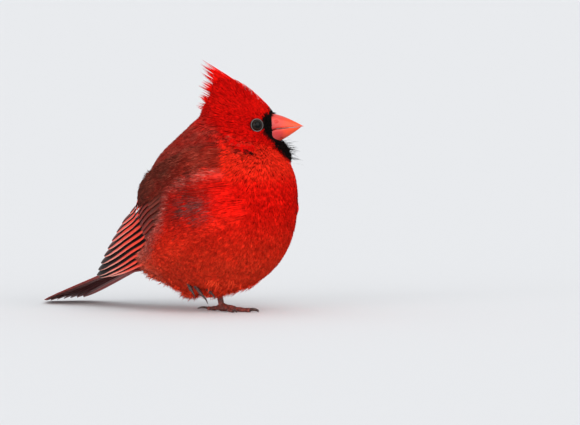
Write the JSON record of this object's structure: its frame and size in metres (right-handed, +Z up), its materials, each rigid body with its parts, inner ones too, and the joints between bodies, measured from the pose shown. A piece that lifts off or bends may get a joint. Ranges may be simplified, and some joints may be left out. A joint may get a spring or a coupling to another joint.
{
  "type": "northern cardinal (adult male)",
  "caption": "Adult male northern cardinal, life size and still: fluffed up on its left leg, right foot tucked, head turned left, crest raised, tail laid on the floor.",
  "frame": {"origin": "middle of the standing left foot's sole, on the floor", "axes": "+X the way the breast faces, +Y the bird's left, +Z up"},
  "size_m": [0.1747, 0.0862, 0.1425],
  "materials": {
    "plumage_red": "soft feathered, matte",
    "wing_feathers": "feathered, satin vanes",
    "tail_feathers": "feathered, satin vanes",
    "bill": "satin horn",
    "eye": "wet gloss",
    "leg_skin": "scaled, satin",
    "claw": "satin horn"
  },
  "bodies": {
    "root": {"torso": "plumage_red", "neck": "plumage_red", "head": "plumage_red", "bill_upper": "bill", "bill_lower": "bill", "eye_right": "eye", "eye_left": "eye", "wing_right": "wing_feathers", "wing_left": "wing_feathers", "tail": "tail_feathers", "thigh_left": "plumage_red", "leg_left": "leg_skin", "foot_left": "leg_skin", "claw_left_middle": "claw", "claw_left_inner": "claw", "claw_left_outer": "claw", "claw_left_hind": "claw", "toe_right_outer": "leg_skin", "claw_right_outer": "claw", "toe_right_middle": "leg_skin", "claw_right_middle": "claw", "toe_right_inner": "leg_skin", "claw_right_inner": "claw"}
  },
  "joints": []
}
